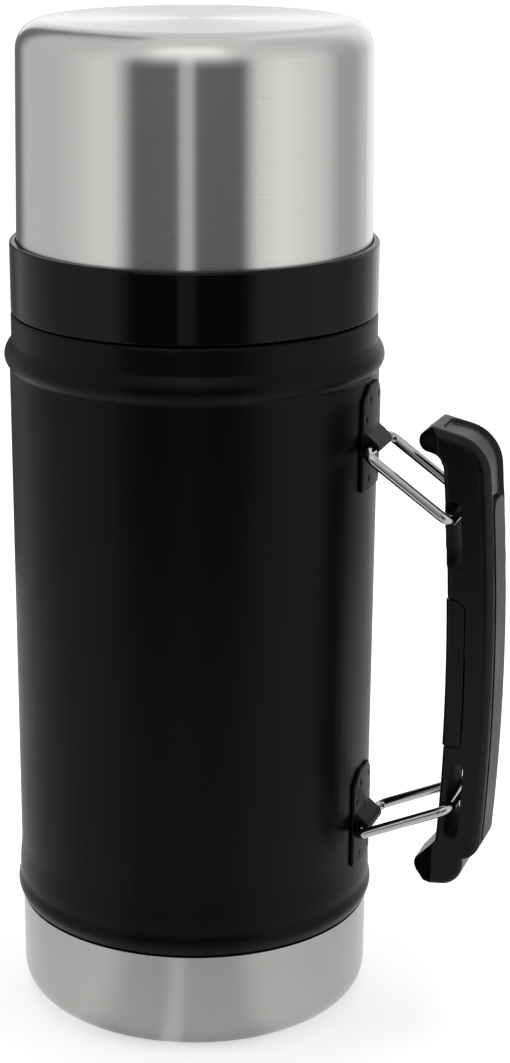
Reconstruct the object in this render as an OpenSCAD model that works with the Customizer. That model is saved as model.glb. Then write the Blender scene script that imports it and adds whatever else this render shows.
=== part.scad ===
// Insulated food jar: a double-walled vacuum jar with a screw stopper, a screw-on cup lid
// and a fold-flat handle on two wire bails. Millimetres, +Z up, jar axis on Z, origin at the
// centre of the base's underside, handle towards +X.

/* [Base] */
// Height of the bare steel base
base_h = 30.8; // [24:0.2:40]
// Step in from the body to the base
base_step = 0.2; // [0.1:0.05:0.5]
// Radius round the bottom edge of the base
base_corner_r = 8.5; // [5:0.5:12]
// Distance from the base's outside to the ring groove under it
foot_step = 14.8; // [12:0.4:20]
// Depth of that groove
foot_h = 1.6; // [1:0.2:4]
// Width of that groove
foot_w = 6; // [3:1:12]

/* [Body] */
// Outer radius of the straight body
body_r = 52; // [50.5:0.1:52.6]
// Thickness of the steel sheet
sheet_t = 0.6; // [0.5:0.1:1]
// Height of the lower bead's crest over the body
low_bead_proud = 1; // [0.7:0.1:1.6]
// Height of the lower bead's crest above the base line
low_bead_rise = 7.2; // [6:0.2:9]
// Height of the upper bead's crest over the body
top_bead_proud = 1.4; // [1:0.1:1.8]
// Height from the floor to the top of the upper bead's crest
top_bead_z = 198.6; // [196:0.2:200]
// Radius of the upper bead's top edge
top_bead_edge_r = 2; // [1:0.1:2.5]
// Step in from the body to the plain band between the upper bead and the lid
neck_band_step = 0.6; // [0.3:0.1:1]
// Height of the shoulder that the lid closes on
shoulder_z = 207; // [205:0.2:210]
// Height of the mouth's lip
mouth_z = 222; // [219:0.5:225]
// Step in from the body to the screw neck
neck_step = 6.4; // [6.2:0.1:6.8]
// Thickness of the mouth's rolled lip
lip_t = 3.4; // [3.2:0.1:3.6]

/* [Vacuum vessel] */
// Distance from the body's outside to the food vessel's inside
vessel_step = 8; // [6:0.5:9]
// Sheet thickness of the food vessel
vessel_t = 0.5; // [0.4:0.1:0.9]
// Height of the vessel floor's upper face
vessel_floor_z = 26.7; // [24:0.5:30]
// Height of the outer bottom plate's underside
bottom_plate_z = 14.4; // [12:0.2:16]
// Radius of the getter capsule
getter_r = 9; // [6:0.5:12]
// Height of the getter capsule
getter_h = 3; // [2:0.5:4]
// Radius of the seal pellet over the vacuum port
pellet_r = 5; // [4:0.5:7]

/* [Handle wires] */
// Diameter of the bail wire
wire_d = 2.9; // [2.6:0.1:3]
// Distance from the hinge bar's axis to the handle bar's axis
bail_len = 29.5; // [28.6:0.1:29.8]
// Distance between the axes of a bail's two legs
bail_w = 24.3; // [24:0.1:28]
// Radius of a bail's corners at the wire's axis
bail_bend_r = 3; // [2.6:0.1:3.2]
// Distance from the body to the axis of a hinge bar
hinge_out = 2; // [1.9:0.1:2.4]
// Height of the upper hinge bar
upper_hinge_z = 172.6; // [172:0.1:173.2]
// Height of the lower hinge bar
lower_hinge_z = 58.9; // [58:0.1:60]
// Slope of the upper bail, down from level
upper_slope = 35.2; // [34.6:0.2:35.8]
// Slope of the lower bail, up from level
lower_slope = 24.2; // [23.6:0.2:24.8]

/* [Brackets] */
// Width of a bracket strap
strap_w = 17; // [16:0.5:19]
// Height of a strap above its hinge bar
strap_rise = 17.4; // [14:0.2:17.6]
// Height of a strap below its hinge bar
strap_drop = 12.4; // [9:0.2:14]
// Thickness of a strap
strap_t = 0.9; // [0.7:0.1:1]
// Corner cut of a strap's top
strap_cut = 4; // [1:0.5:6]
// Width of the pressed-out hinge barrel
barrel_w = 14; // [12:0.5:15]

/* [Handle] */
// Width of the handle
handle_w = 20; // [18:0.5:20.4]
// Depth of the grip, from finger side to outer face
grip_depth = 12.9; // [12.5:0.1:13.3]
// Distance from the body to the outer face at the crest of its bow
grip_out = 39.1; // [38.9:0.1:39.5]
// Radius of the handle's bow
bow_r = 700; // [640:10:760]
// Height of the bow's crest
bow_z = 105; // [103:1:107]
// Height of the handle's top
handle_top_z = 181; // [180.6:0.1:181.4]
// Height of the handle's underside
handle_low_z = 45.6; // [45.2:0.1:46]
// Radius of the upper outer corner
top_corner_r = 12; // [11:0.5:12.5]
// Radius of the lower outer corner
low_corner_r = 6.5; // [6:0.5:7.5]
// Slope of the top face, down towards the outside
top_slope = 13; // [11:0.5:14]
// Slope of the underside, up towards the outside
low_slope = 5; // [3:0.5:8]
// Slope of a hook's brow, from its tip up to the end face
brow_slope = 40; // [36:1:44]
// Distance from the body to the tip of the upper hook
hook_out = 15; // [14.6:0.1:15.4]
// Radius of the upper hook's tip
hook_tip_r = 2.7; // [2.5:0.1:2.9]
// Height of the middle of the upper hook's tip
hook_z = 176.2; // [175.8:0.1:176.6]
// Distance from the body to the tip of the lower hook
toe_out = 17.6; // [17.2:0.1:18]
// Radius of the lower hook's tip
toe_tip_r = 3; // [2.6:0.1:3.2]
// Height of the middle of the lower hook's tip
toe_z = 50; // [49.6:0.1:50.4]
// Depth by which the heel under the soft strip is set back
heel_set = 4.2; // [3.6:0.2:5]
// Height at which the outer face starts to round in to the heel
heel_top_z = 60.2; // [59.8:0.2:60.8]
// Radius of that round
heel_r = 5.5; // [5.3:0.1:5.8]
// Radius along the heel's edges
heel_edge_r = 1.6; // [1.2:0.1:2]
// Radius along the grip's outer edges
grip_edge_r = 3.2; // [1.5:0.1:3.8]
// Width of the soft strip in the outer face
strip_w = 11.6; // [9:0.2:12]
// Thickness of the soft strip
strip_t = 2.8; // [2:0.1:3.2]
// Height of the strip's top end
strip_top_z = 160.6; // [156:0.2:163]
// Height of the strip's lower end
strip_low_z = 57; // [56.6:0.2:58]
// Depth of the channel that runs on past the strip
channel_t = 1; // [0.4:0.1:1.4]
// Height of the finger-side cover's top end
cover_top_z = 132.8; // [128:0.2:135]
// Height of the finger-side cover's lower end
cover_low_z = 89.6; // [89:0.2:94]
// Depth to which the cover wraps on to the sides
cover_depth = 5; // [4:0.2:5.6]
// Wall of the handle round its hollow
handle_wall = 2.2; // [1.6:0.1:2.6]

/* [Lid] */
// Height of the closed jar
jar_h = 285.5; // [280:0.5:292]
// Step in from the collar to the steel cup where it leaves the collar
cup_step = 1.7; // [1.5:0.1:2.2]
// Loss of radius from there to the top
cup_taper = 1.2; // [0.4:0.1:1.6]
// Radius round the cup's closed end
cup_corner_r = 8; // [6:0.5:10]
// Step in from the body to the plastic collar
collar_step = 0.7; // [0.4:0.1:0.9]
// Height of the collar's upper lip
collar_top_z = 226.6; // [225.6:0.2:230]
// Depth of the groove that takes the cup's edge
collar_groove = 14; // [10:0.5:15]
// Distance from the cup's outside to the liner's inside
liner_step = 4.5; // [4.2:0.1:4.7]
// Gap between the cup's closed end and the liner's
liner_top_gap = 3; // [2:0.2:5]

/* [Stopper] */
// Radial room between the stopper's plug and the mouth
plug_gap = 0.6; // [0.5:0.1:1.2]
// Depth of the plug below the lip
plug_depth = 33; // [26:0.5:38]
// Wall of the stopper
plug_t = 2.2; // [1.8:0.1:2.6]
// Step in from the neck to the stopper's flange
flange_step = 1.2; // [1.1:0.1:1.8]
// Height of the stopper's finger grip
knob_h = 10; // [7:0.5:14]
// Step in from the plug to the stopper's finger grip
knob_step = 6.6; // [4:0.4:10]
// Number of finger hollows round the grip
knob_hollows = 10; // [8:1:12]

/* [Hidden] */

$fn = 120;

// Fits
move_gap = 0.3;      // between bodies that move apart
seat_gap = 0.1;      // between pieces that are pressed or clipped together
running_gap = 0.1;   // radial play of the hinge bars in their barrels
thread_gap = 0.5;    // radial room left for a screw thread
eps = 0.01;

// Colours
coat_black = [0.045, 0.045, 0.05];
plastic_black = [0.03, 0.03, 0.03];
strip_grey = [0.12, 0.12, 0.12];
steel = [0.72, 0.72, 0.71];
steel_dark = [0.5, 0.5, 0.5];
silicone = [0.35, 0.35, 0.36];
foam = [0.9, 0.88, 0.8];

// Body sizes
base_r = body_r - base_step;
foot_r = base_r - foot_step;
low_bead_r = body_r + low_bead_proud;
top_bead_r = body_r + top_bead_proud;
neck_band_r = body_r - neck_band_step;
neck_r = body_r - neck_step;
mouth_r = neck_r - lip_t;
vessel_r = body_r - vessel_step;
skirt_r = base_r - sheet_t - seat_gap;
skirt_lip = 1.4;
skirt_low_z = bottom_plate_z - skirt_lip;
dimple_h = 1.6;
pellet_h = 1.4;
low_bead_z = base_h + low_bead_rise;
low_bead_step = low_bead_proud + base_step;
low_bead_under_r = (pow(low_bead_rise, 2) + pow(low_bead_step, 2)) / (2 * low_bead_step);
low_bead_over_r = 8;
top_bead_under_r = 8;
top_bead_low_z = top_bead_z - 3.8;
top_bead_h = sqrt(pow(top_bead_under_r, 2) - pow(top_bead_under_r - top_bead_proud, 2));
neck_in_r = neck_r - sheet_t;
lip_r = lip_t / 2;
lip_z = mouth_z - lip_r;
shoulder_edge_r = 1.2;
neck_cone_h = 6;
vessel_neck_z = mouth_z - plug_depth - neck_cone_h;
vessel_corner_r = 9;
base_lid_gap = 0.25;

// Hinge and handle sizes
hinge_x = body_r + hinge_out;
grip_out_x = body_r + grip_out;
hook_x = body_r + hook_out;
toe_x = body_r + toe_out;
wire_r = wire_d / 2;
barrel_r = wire_r + running_gap + strap_t;
bow_x = grip_out_x - bow_r;
upper_bar = [hinge_x + bail_len * cos(upper_slope), upper_hinge_z - bail_len * sin(upper_slope)];
lower_bar = [hinge_x + bail_len * cos(lower_slope), lower_hinge_z + bail_len * sin(lower_slope)];
fold_gap = 0.5;
fold_x = hook_out - strap_t - fold_gap;
fold_rise = (upper_hinge_z + lower_hinge_z - handle_top_z - handle_low_z) / 2;
upper_folded = folded(upper_bar, upper_hinge_z, 1);
lower_folded = folded(lower_bar, lower_hinge_z, -1);
slot_arch = 1.3;
slot_w = wire_d + slot_arch + 2 * move_gap;
slot_shift = slot_arch / 2;
upper_slot = [upper_hinge_z - bail_len * sin(upper_folded) - fold_rise, upper_bar.y + 3.4];
lower_slot = [lower_bar.y - 7.6, lower_hinge_z + bail_len * sin(lower_folded) - fold_rise];
hook_fillet_r = 2.5;
toe_slope = 50;
end_depth = 17;
grip_inner_r = 1.2;
cover_proud = 0.3;
cover_lap = 3;
finger_lap = 4;
side_lap = 2;
channel_run = 5.4;
channel_end_r = 3;
channel_w = strip_w + 0.6;
nose_bevel = 5;
nose_bevel_len = 6.5;

// Lid and stopper sizes
collar_r = body_r - collar_step;
cup_r = collar_r - cup_step;
liner_r = cup_r - liner_step;
plug_r = mouth_r - plug_gap;
flange_r = neck_r - flange_step;
knob_r = plug_r - knob_step;
collar_low_z = shoulder_z + move_gap;
collar_bore_r = neck_r + thread_gap;
cup_low_z = collar_top_z - collar_groove + seat_gap;
cup_in_r = cup_r - sheet_t;
groove_in_r = cup_in_r - 0.3;
groove_out_r = cup_r + seat_gap;
sleeve_top_z = mouth_z + 2.4;
liner_t = 0.7;
liner_top_z = jar_h - sheet_t - liner_top_gap;
liner_corner_r = 6;
gasket_t = 1.4;
gasket_in_r = neck_r + 2.2;
gasket_out_r = neck_band_r - 1.6;
flange_t = 2.8;
flange_z = mouth_z + move_gap + gasket_t;
cap_z = flange_z + flange_t;
cap_t = 2.6;
plug_low_z = mouth_z - plug_depth;
plug_in_r = plug_r - plug_t;

function polar(radius, angle) = radius * [cos(angle), sin(angle)];

// Slope of a wire when the handle lies against the body, first with its bar moved straight in,
// then with the bar kept on the slot's own slope; side is 1 for the upper wire, -1 for the lower
function folded_straight(bar) = acos((bar.x - hinge_x - fold_x) / bail_len);
function folded(bar, hinge_z, side) =
    let (bar_z = hinge_z - side * bail_len * sin(folded_straight(bar)) - fold_rise)
    acos((bar.x + (bar.y - bar_z) * tan(bow_angle(bar.y)) - hinge_x - fold_x) / bail_len);

// A plain rectangle from its corners
module block(low, high) {
    translate(low) square(high - low);
}

// Half section of a solid that is rounded at its upper outer edge and may taper upwards
module round_top(r_low, z_low, r_high, z_high, edge) {
    centre = [r_high - edge, z_high - edge];
    lean = atan((r_low - r_high) / (z_high - z_low));
    polygon([[0, z_low], [r_low, z_low], centre + polar(edge, lean), centre,
             [centre.x, z_high], [0, z_high]]);
    translate(centre) circle(edge);
}

// Half section of a solid that is rounded at its lower outer edge
module round_low(radius, z_low, z_high, edge) {
    block([0, z_low], [radius - edge, z_high]);
    block([0, z_low + edge], [radius, z_high]);
    translate([radius - edge, z_low + edge]) circle(edge);
}

// A side view in X and Z, made as wide as asked across Y
module across(width) {
    rotate([90, 0, 0])
        linear_extrude(width, center = true)
            children();
}

// Angle along the handle's bow at a height of its outer face
function bow_angle(z) = asin((z - bow_z) / bow_r);

// A section swept along the handle's bow, between two angles
module along_bow(low, high) {
    translate([bow_x, 0, bow_z])
        rotate([90, 0, 0])
            rotate([0, 0, low])
                rotate_extrude(angle = high - low, $fn = 720)
                    children();
}

// ---------------------------------------------------------------- jar

module base_cup() {
    color(steel)
        rotate_extrude()
            difference() {
                union() {
                    difference() {
                        round_low(base_r, 0, base_h - base_lid_gap, base_corner_r);
                        round_low(base_r - sheet_t, sheet_t, base_h, base_corner_r - sheet_t);
                    }
                    block([foot_r - foot_w - sheet_t, sheet_t - eps], [foot_r + sheet_t, foot_h + sheet_t]);
                }
                block([foot_r - foot_w, -eps], [foot_r, foot_h]);
            }
}

// Outline of the beaded body, grown or shrunk by an inset of the sheet
module body_outline(inset) {
    block([0, low_bead_z], [body_r - inset, top_bead_low_z]);
    intersection() {
        translate([low_bead_r - low_bead_under_r, low_bead_z]) circle(low_bead_under_r - inset, $fn = 240);
        block([0, base_h + inset], [low_bead_r, low_bead_z]);
    }
    intersection() {
        translate([low_bead_r - low_bead_over_r, low_bead_z]) circle(low_bead_over_r - inset);
        block([low_bead_r - low_bead_over_r, low_bead_z], [low_bead_r, low_bead_z + low_bead_over_r]);
    }
    intersection() {
        translate([top_bead_r - top_bead_under_r, top_bead_low_z]) circle(top_bead_under_r - inset);
        block([body_r - 3, top_bead_low_z - top_bead_h], [top_bead_r, top_bead_low_z]);
    }
    block([0, top_bead_low_z], [top_bead_r - inset, top_bead_z]);
    intersection() {
        translate([top_bead_r - top_bead_edge_r, top_bead_z]) circle(top_bead_edge_r - inset);
        block([0, top_bead_z - eps], [top_bead_r, top_bead_z + top_bead_edge_r]);
    }
    band_r = neck_band_r - inset;
    round_top(band_r, top_bead_z - eps, band_r, shoulder_z - inset, shoulder_edge_r);
}

module outer_shell() {
    color(coat_black)
        rotate_extrude()
            difference() {
                union() {
                    body_outline(0);
                    block([0, skirt_low_z], [skirt_r, base_h + sheet_t]);
                    block([0, shoulder_z - shoulder_edge_r], [neck_r, lip_z]);
                    translate([neck_r - lip_r, lip_z]) circle(lip_r);
                }
                body_outline(sheet_t);
                block([-eps, skirt_low_z - eps], [skirt_r - sheet_t, low_bead_z]);
                block([-eps, shoulder_z - sheet_t - eps], [neck_in_r, lip_z]);
                block([-eps, lip_z - eps], [mouth_r, mouth_z + eps]);
            }
}

module vessel_outline(inset) {
    neck_radius = mouth_r + vessel_t - inset;
    round_low(vessel_r + vessel_t - inset, vessel_floor_z - vessel_t + inset, vessel_neck_z,
              vessel_corner_r + vessel_t - inset);
    polygon([[0, vessel_neck_z - eps], [vessel_r + vessel_t - inset, vessel_neck_z - eps],
             [vessel_r + vessel_t - inset, vessel_neck_z], [neck_radius, vessel_neck_z + neck_cone_h],
             [neck_radius, lip_z + inset], [0, lip_z + inset]]);
}

module inner_vessel() {
    color(steel)
        rotate_extrude()
            difference() {
                vessel_outline(0);
                vessel_outline(vessel_t);
            }
}

module outer_bottom() {
    rim_h = 5;
    plate_r = skirt_r - sheet_t - seat_gap;
    port_r = 1.5;
    dimple_r = pellet_r + 2;
    dimple_corner = [dimple_r + sheet_t, bottom_plate_z + dimple_h + sheet_t];
    color(steel_dark)
        rotate_extrude()
            difference() {
                union() {
                    block([0, bottom_plate_z], [plate_r, bottom_plate_z + rim_h]);
                    block([0, bottom_plate_z], dimple_corner);
                }
                difference() {
                    block([-eps, bottom_plate_z + sheet_t],
                          [plate_r - sheet_t, bottom_plate_z + rim_h + eps]);
                    block([-eps, bottom_plate_z], dimple_corner);
                }
                block([-eps, bottom_plate_z - eps], [dimple_r, bottom_plate_z + dimple_h]);
                block([-eps, bottom_plate_z - eps], [port_r, bottom_plate_z + rim_h]);
            }
}

module vacuum_seal() {
    dimple_roof_z = bottom_plate_z + dimple_h;
    color(steel_dark)
        translate([0, 0, dimple_roof_z - pellet_h])
            cylinder(r = pellet_r, h = pellet_h);
}

module getter() {
    under_floor_z = vessel_floor_z - vessel_t;
    low_z = under_floor_z - getter_h;
    edge = 0.8;
    color(steel_dark)
        rotate_extrude()
            difference() {
                round_low(getter_r, low_z, under_floor_z, edge);
                block([-eps, low_z - eps], [getter_r / 3, low_z + edge]);
            }
}

// ---------------------------------------------------------------- handle brackets and wires

module strap_outline(hinge_z) {
    half = strap_w / 2;
    low_cut = 1.2;
    polygon([[-half, hinge_z - strap_drop + low_cut], [-half + low_cut, hinge_z - strap_drop],
             [half - low_cut, hinge_z - strap_drop], [half, hinge_z - strap_drop + low_cut],
             [half, hinge_z + strap_rise - strap_cut], [half - strap_cut, hinge_z + strap_rise],
             [-half + strap_cut, hinge_z + strap_rise], [-half, hinge_z + strap_rise - strap_cut]]);
}

// Side view, in X and Z, of the tongue that is pressed out over the hinge bar and snaps round it
module barrel_view(hinge) {
    ramp_angle = 50;
    lip_angle = -12;
    foot = [body_r - 2, hinge.y];
    below = hinge.y - 2 * barrel_r;
    ramp = hinge + polar(barrel_r, ramp_angle);
    ramp_top = ramp.y + (ramp.x - body_r - strap_t / 2) / tan(ramp_angle);
    difference() {
        translate(hinge) circle(barrel_r, $fn = 48);
        polygon([hinge, hinge + polar(2 * barrel_r, lip_angle), [hinge.x + 2 * barrel_r, below],
                 [foot.x, below], foot]);
    }
    polygon([foot, hinge, ramp, [body_r + strap_t / 2, ramp_top], [foot.x, ramp_top]]);
}

// A spot-welded strap with a pressed-out barrel that holds the hinge bar
module bracket(hinge_z) {
    weld_dent_r = 3;
    weld_dent_t = 0.3;
    welds = [[4, strap_rise - 4], [6.5, 8.2], [4, 3.6 - strap_drop]];
    color(coat_black)
        difference() {
            union() {
                intersection() {
                    difference() {
                        cylinder(r = body_r + strap_t, h = jar_h, $fn = 240);
                        cylinder(r = body_r, h = jar_h, $fn = 240);
                    }
                    rotate([90, 0, 90])
                        linear_extrude(jar_h)
                            strap_outline(hinge_z);
                }
                difference() {
                    across(barrel_w) barrel_view([hinge_x, hinge_z]);
                    cylinder(r = body_r + strap_t / 2, h = jar_h, $fn = 240);
                }
            }
            translate([hinge_x, 0, hinge_z])
                rotate([90, 0, 0])
                    cylinder(r = wire_r + running_gap, h = strap_w, center = true, $fn = 48);
            for (weld = welds, side = [-1, 1])
                rotate([0, 0, side * asin(weld.x / body_r)])
                    translate([body_r + strap_t - weld_dent_t + weld_dent_r, 0, hinge_z + weld.y])
                        sphere(weld_dent_r, $fn = 32);
        }
}

module upper_bracket() {
    bracket(upper_hinge_z);
}

module lower_bracket() {
    bracket(lower_hinge_z);
}

// Wire from the origin along +X
module wire(run) {
    rotate([0, 90, 0])
        cylinder(r = wire_r, h = run, $fn = 48);
}

// A quarter bend in the X-Y plane that starts at the origin along +X and turns to +Y
module bend() {
    translate([0, bail_bend_r, 0])
        rotate([0, 0, -90])
            rotate_extrude(angle = 90, $fn = 48)
                translate([bail_bend_r, 0]) circle(wire_r, $fn = 48);
}

// A closed loop of wire: hinge bar on the Y axis, legs towards +X
module bail() {
    leg = bail_len - 2 * bail_bend_r;
    bar = bail_w - 2 * bail_bend_r;
    for (side = [-1, 1]) {
        translate([bail_bend_r, side * bail_w / 2, 0]) wire(leg);
        translate([bail_len - bail_bend_r, side * bail_w / 2, 0]) mirror([0, side > 0 ? 1 : 0, 0]) bend();
        translate([bail_bend_r, side * bail_w / 2, 0])
            mirror([1, 0, 0])
                mirror([0, side > 0 ? 1 : 0, 0])
                    bend();
    }
    for (x = [0, bail_len])
        translate([x, -bar / 2, 0])
            rotate([0, 0, 90])
                wire(bar);
}

module upper_bail() {
    color(steel)
        translate([hinge_x, 0, upper_hinge_z])
            rotate([0, upper_slope, 0])
                bail();
}

module lower_bail() {
    color(steel)
        translate([hinge_x, 0, lower_hinge_z])
            rotate([0, -lower_slope, 0])
                bail();
}

// ---------------------------------------------------------------- handle

// Section of the grip in a plane across it, outer face at bow_r on the right, shrunk by an inset
module grip_section(depth, inset, edge_r = grip_edge_r) {
    half = handle_w / 2;
    inner = bow_r - depth;
    outer = bow_r - edge_r;
    block([inner + grip_inner_r, inset - half], [outer, half - inset]);
    block([inner + inset, grip_inner_r - half], [outer, half - grip_inner_r]);
    block([outer - eps, edge_r - half], [bow_r - inset, half - edge_r]);
    for (side = [-1, 1]) {
        translate([outer, side * (half - edge_r)]) circle(edge_r - inset, $fn = 48);
        translate([inner + grip_inner_r, side * (half - grip_inner_r)])
            circle(grip_inner_r - inset, $fn = 48);
    }
}

// The same section with the shallow channel in its outer face
module channel_section(depth, inset) {
    half = channel_w / 2 + inset;
    difference() {
        grip_section(depth, inset);
        block([bow_r - channel_t - inset, -half], [bow_r + channel_t, half]);
    }
}

// How the two ends of the handle differ; side is 1 at the top, -1 below. The end's own views are drawn
// with that end upwards.
function end_z(side) = side > 0 ? handle_top_z : -handle_low_z;
function corner_r(side) = side > 0 ? top_corner_r : low_corner_r;
function end_set(side) = side > 0 ? 0 : heel_set;
function tip_r(side) = side > 0 ? hook_tip_r : toe_tip_r;
function tip_centre(side) = side > 0 ? [hook_x + hook_tip_r, hook_z] : [toe_x + toe_tip_r, -toe_z];
function brow_foot(side) = tip_centre(side) + polar(tip_r(side), 90 + brow_slope);
function brow_top(side) =
    let (foot = brow_foot(side)) [foot.x + (end_z(side) - foot.y) / tan(brow_slope), end_z(side)];

// Centre of the outer corner, and its angle about the centre of the handle's bow
function corner_reach(side) = bow_r - end_set(side) - corner_r(side);
function corner_angle(side) =
    let (first = asin((end_z(side) - corner_r(side) - side * bow_z) / corner_reach(side)),
         centre_x = bow_x + corner_reach(side) * cos(first),
         slope = side > 0 ? top_slope : low_slope,
         centre_z = end_z(side) - (centre_x - brow_top(side).x) * tan(slope) - corner_r(side) / cos(slope))
    asin((centre_z - side * bow_z) / corner_reach(side));
function corner_centre(side) = [bow_x, side * bow_z] + polar(corner_reach(side), corner_angle(side));

// Direction that an end face looks in
function end_lean(side) =
    let (run = corner_centre(side) - brow_top(side))
    atan2(run.y, run.x) + acos(-corner_r(side) / norm(run));

// Open space beside the upper end: under its hook, past the hook's tip and over its brow
module top_clearance(left, far, finger_x) {
    tip = tip_centre(1);
    under_z = tip.y - hook_tip_r;
    fillet = [finger_x - hook_fillet_r + seat_gap / 2, under_z - hook_fillet_r];
    polygon([[left, bow_z], [finger_x + side_lap, bow_z], [finger_x + side_lap, fillet.y], fillet,
             [fillet.x, under_z], [tip.x, under_z], tip, brow_foot(1), far, [left, far.y]]);
    translate(fillet) circle(hook_fillet_r, $fn = 48);
}

// The same beside the lower end, whose hook slopes away from the grip
module low_clearance(left, far, finger_x) {
    tip = tip_centre(-1);
    toe = tip + polar(toe_tip_r, -90 - toe_slope);
    right = finger_x + side_lap;
    polygon([[left, -bow_z], [right, -bow_z], [right, toe.y - (right - toe.x) * tan(toe_slope)],
             toe, tip, brow_foot(-1), far, [left, far.y]]);
}

// Side view, in X and Z, of the open space beside an end
module end_clearance(side) {
    tip = tip_centre(side);
    left = hook_x - end_depth;
    far = brow_foot(side) + polar(2 * top_corner_r, brow_slope);
    finger_x = bow_x + (bow_r - grip_depth) * cos(bow_angle(side * tip.y));
    mirror([0, side < 0 ? 1 : 0])
        difference() {
            union() {
                if (side > 0) top_clearance(left, far, finger_x);
                else low_clearance(left, far, finger_x);
            }
            translate(tip) circle(tip_r(side) + seat_gap / 2, $fn = 48);
        }
}

// Room of the channel over an end face: a rounded end, seen square to the face
module channel_end() {
    half = channel_w / 2 + 2 * eps;
    for (side = [-1, 1])
        translate([channel_run - channel_end_r, side * (half - channel_end_r)])
            circle(channel_end_r, $fn = 48);
    block([-1, -half], [channel_run - channel_end_r, half]);
    block([-1, channel_end_r - half], [channel_run, half - channel_end_r]);
}

// One end of the handle: the outer corner, the end face and the hook, each a hair inside the last
module handle_end(side) {
    corner = corner_centre(side);
    start = corner_angle(side);
    lean = end_lean(side);
    run = norm(corner - tip_centre(side)) + tip_r(side);
    edge_r = side > 0 ? grip_edge_r : heel_edge_r;
    difference() {
        translate([corner.x, 0, side * corner.y])
            mirror([0, 0, side < 0 ? 1 : 0])
                rotate([90, 0, 0]) {
                    rotate([0, 0, start])
                        rotate_extrude(angle = lean - start, $fn = 96)
                            intersection() {
                                translate([corner_r(side) - bow_r, 0])
                                    if (side > 0) channel_section(end_depth, eps);
                                    else grip_section(end_depth, eps, edge_r);
                                block([0, -handle_w], [2 * corner_r(side), handle_w]);
                            }
                    rotate([0, 0, lean])
                        rotate([-90, 0, 0])
                            difference() {
                                translate([corner_r(side) - bow_r, 0, -move_gap])
                                    linear_extrude(run)
                                        grip_section(end_depth, 2 * eps, edge_r);
                                if (side > 0)
                                    translate([corner_r(side) - channel_t - 2 * eps, 0, 0])
                                        rotate([0, -90, 180])
                                            linear_extrude(2 * channel_t)
                                                channel_end();
                            }
                }
        across(handle_w + 2) end_clearance(side);
    }
}

// Side view of what is cut away outside the heel, under the lower end of the soft strip
module heel_view() {
    angle = bow_angle(heel_top_z);
    round_centre = [bow_x, bow_z] + polar(bow_r - heel_r + seat_gap / 2, angle);
    difference() {
        block([round_centre.x, handle_low_z - 1], [grip_out_x + 3, heel_top_z]);
        translate(round_centre) circle(heel_r);
        translate([bow_x, bow_z]) circle(bow_r - heel_set, $fn = 2880);
    }
}

// The bar that is gripped, and its finger side carried on up to both hooks
module handle_bar() {
    top_under = bow_angle(hook_z);
    low_under = bow_angle(toe_z + finger_lap);
    lap = asin(move_gap / bow_r);
    heel_angle = bow_angle(heel_top_z - heel_r * sin(acos(1 - heel_set / heel_r)));
    difference() {
        along_bow(heel_angle - lap, corner_angle(1) + lap) channel_section(grip_depth, 0);
        across(handle_w + 2) heel_view();
    }
    along_bow(-corner_angle(-1) - lap, heel_angle + 4 * lap)
        translate([-heel_set, 0])
            grip_section(grip_depth - heel_set, -eps, heel_edge_r);
    along_bow(low_under, top_under)
        intersection() {
            grip_section(grip_depth, 4 * eps);
            block([0, -handle_w], [bow_r - grip_depth + finger_lap, handle_w]);
        }
}

// Side view of a slot along the grip's slope at a wire's bar, between the heights of its end centres
module slot_view(bar, span) {
    radius = slot_w / 2;
    lean = bow_angle(bar.y);
    run = (span[1] - span[0]) / cos(lean);
    translate([bar.x + slot_shift + (bar.y - span[0]) * tan(lean), span[0]])
        rotate([0, 0, lean]) {
            block([-radius, 0], [radius, run]);
            circle(radius, $fn = 48);
            translate([0, run]) circle(radius, $fn = 48);
        }
}

module cover_view(gap) {
    inner = bow_r - grip_depth;
    edge = 4;
    intersection() {
        difference() {
            translate([bow_x, bow_z]) circle(inner + cover_depth + gap, $fn = 2880);
            translate([bow_x, bow_z]) circle(inner - cover_proud - gap, $fn = 2880);
        }
        union() {
            block([hook_x, cover_low_z - gap], [grip_out_x, cover_top_z - edge + gap]);
            block([hook_x, cover_low_z - gap],
                  [grip_out_x - grip_depth + cover_depth - edge, cover_top_z + gap]);
            translate([grip_out_x - grip_depth + cover_depth - edge, cover_top_z - edge]) circle(edge + gap);
        }
    }
}

module strip_plan(gap) {
    end_r = 3.5;
    half = strip_w / 2 + gap;
    for (side = [-1, 1], z = [strip_low_z - gap + end_r, strip_top_z + gap - end_r])
        translate([side * (half - end_r), z]) circle(end_r, $fn = 48);
    block([-half, strip_low_z - gap + end_r], [half, strip_top_z + gap - end_r]);
    block([end_r - half, strip_low_z - gap], [half - end_r, strip_top_z + gap]);
}

// Room of the soft strip in the outer face, from a depth below it to a height above it
module strip_solid(below, above, gap) {
    intersection() {
        along_bow(bow_angle(handle_low_z), bow_angle(handle_top_z))
            block([bow_r - below, -handle_w / 2], [bow_r + above, handle_w / 2]);
        rotate([90, 0, 90])
            linear_extrude(jar_h)
                strip_plan(gap);
    }
}

// Cuts that narrow a hook to its tip from both sides
module nose_bevels(tip_x) {
    half = handle_w / 2;
    for (side = [0, 1])
        mirror([0, side, 0])
            linear_extrude(bow_z)
                polygon([[tip_x - 1, half - nose_bevel], [tip_x, half - nose_bevel],
                         [tip_x + nose_bevel_len, half], [tip_x + nose_bevel_len, handle_w],
                         [tip_x - 1, handle_w]]);
}

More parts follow.
